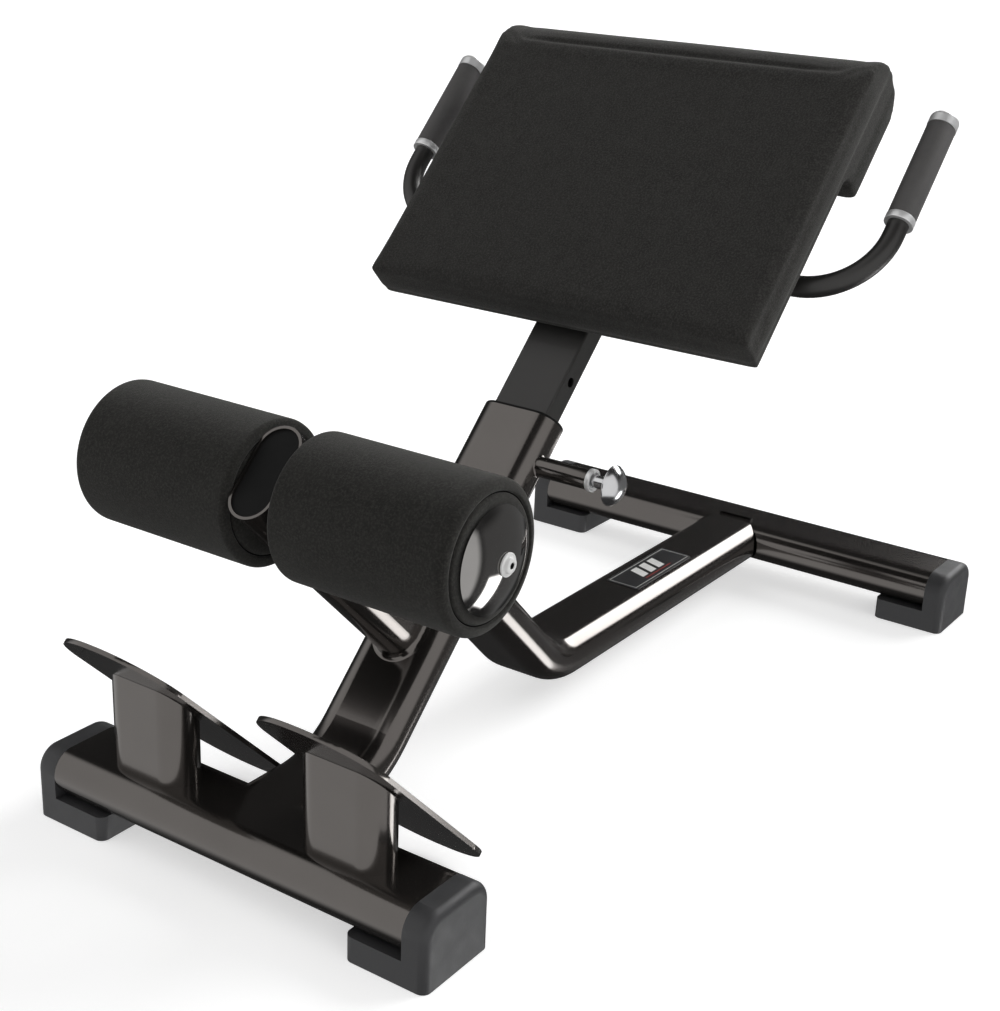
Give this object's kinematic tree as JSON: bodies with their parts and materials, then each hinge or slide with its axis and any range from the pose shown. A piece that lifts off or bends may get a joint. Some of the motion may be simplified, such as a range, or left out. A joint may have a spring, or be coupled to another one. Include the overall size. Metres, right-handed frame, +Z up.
{
  "type": "roman chair",
  "caption": "Floor-standing back-extension bench leaning back at 45 degrees: foot plates, two foam ankle rollers, a sliding padded thigh rest with side grips.",
  "frame": {"origin": "on the floor, at the middle of the overall length and on the centre plane", "axes": "+X from the foot plates towards the pad and the rear crossbar, +Y to the left of someone who stands on the foot plates and faces the pad, +Z up"},
  "size_m": [1.24, 0.7154, 0.7998],
  "materials": {
    "frame_paint": "satin",
    "post_paint": "satin",
    "upholstery": "matte",
    "foam": "matte",
    "foot_rubber": "matte",
    "grip_rubber": "matte",
    "chrome": "polished",
    "dark_chrome": "polished",
    "aluminium": "satin",
    "steel": "satin",
    "black_plastic": "satin",
    "plywood": "matte",
    "plate_black": "satin"
  },
  "bodies": {
    "frame": {"front_crossbar": "frame_paint", "rear_crossbar": "frame_paint", "foot_cap_front_left": "foot_rubber", "foot_cap_front_right": "foot_rubber", "foot_cap_rear_left": "foot_rubber", "foot_cap_rear_right": "foot_rubber", "foot_screws": "steel", "spine_tube": "frame_paint", "lower_tube": "frame_paint", "roller_strut": "frame_paint", "strut_plug": "black_plastic", "foot_post_left": "frame_paint", "foot_post_right": "frame_paint", "foot_plate_left": "frame_paint", "foot_plate_right": "frame_paint", "spine_bush": "black_plastic", "pop_pin_barrel": "frame_paint", "pop_pin_collar": "aluminium", "pop_pin_spring": "steel", "roller_axle": "steel", "roller_spacer_left": "black_plastic", "roller_spacer_right": "black_plastic", "roller_dome_left": "dark_chrome", "roller_dome_right": "dark_chrome", "dome_washer_left": "chrome", "dome_washer_right": "chrome", "dome_bolt_left": "steel", "dome_bolt_right": "steel", "name_plate": "plate_black"},
    "pad_carriage": {"pad_post": "post_paint", "post_plug_lower": "black_plastic", "post_plug_upper": "black_plastic", "pad_bracket_left": "post_paint", "pad_bracket_right": "post_paint", "handle_bar": "post_paint", "grip_left": "grip_rubber", "grip_right": "grip_rubber", "grip_collar_left": "aluminium", "grip_collar_right": "aluminium", "grip_cap_left": "aluminium", "grip_cap_right": "aluminium", "pad_board": "plywood", "thigh_pad": "upholstery", "pad_bolts": "steel"},
    "pull_pin": {"pop_pin_plunger": "chrome", "pop_pin_knob": "chrome"},
    "roller_left": {"roller_foam_left": "foam", "roller_core_left": "black_plastic", "roller_bush_inner_left": "black_plastic", "roller_bush_outer_left": "black_plastic"},
    "roller_right": {"roller_foam_right": "foam", "roller_core_right": "black_plastic", "roller_bush_inner_right": "black_plastic", "roller_bush_outer_right": "black_plastic"}
  },
  "joints": [
    {"name": "pad_slide", "type": "slide", "parent": "frame", "child": "pad_carriage", "axis": [0.7071, 0, 0.7071], "range_m": [-0.114, 0.057]},
    {"name": "pin_slide", "type": "slide", "parent": "frame", "child": "pull_pin", "axis": [0, 1, 0], "range_m": [0, 0.016], "stiffness_N_per_m": 600, "springref_m": 0.03, "deforming": ["pop_pin_spring"]},
    {"name": "roller_left_spin", "type": "hinge", "parent": "frame", "child": "roller_left", "pos_m": [-0.45701, 0, 0.401], "axis": [0, 1, 0], "continuous": true},
    {"name": "roller_right_spin", "type": "hinge", "parent": "frame", "child": "roller_right", "pos_m": [-0.45701, 0, 0.401], "axis": [0, 1, 0], "continuous": true}
  ]
}
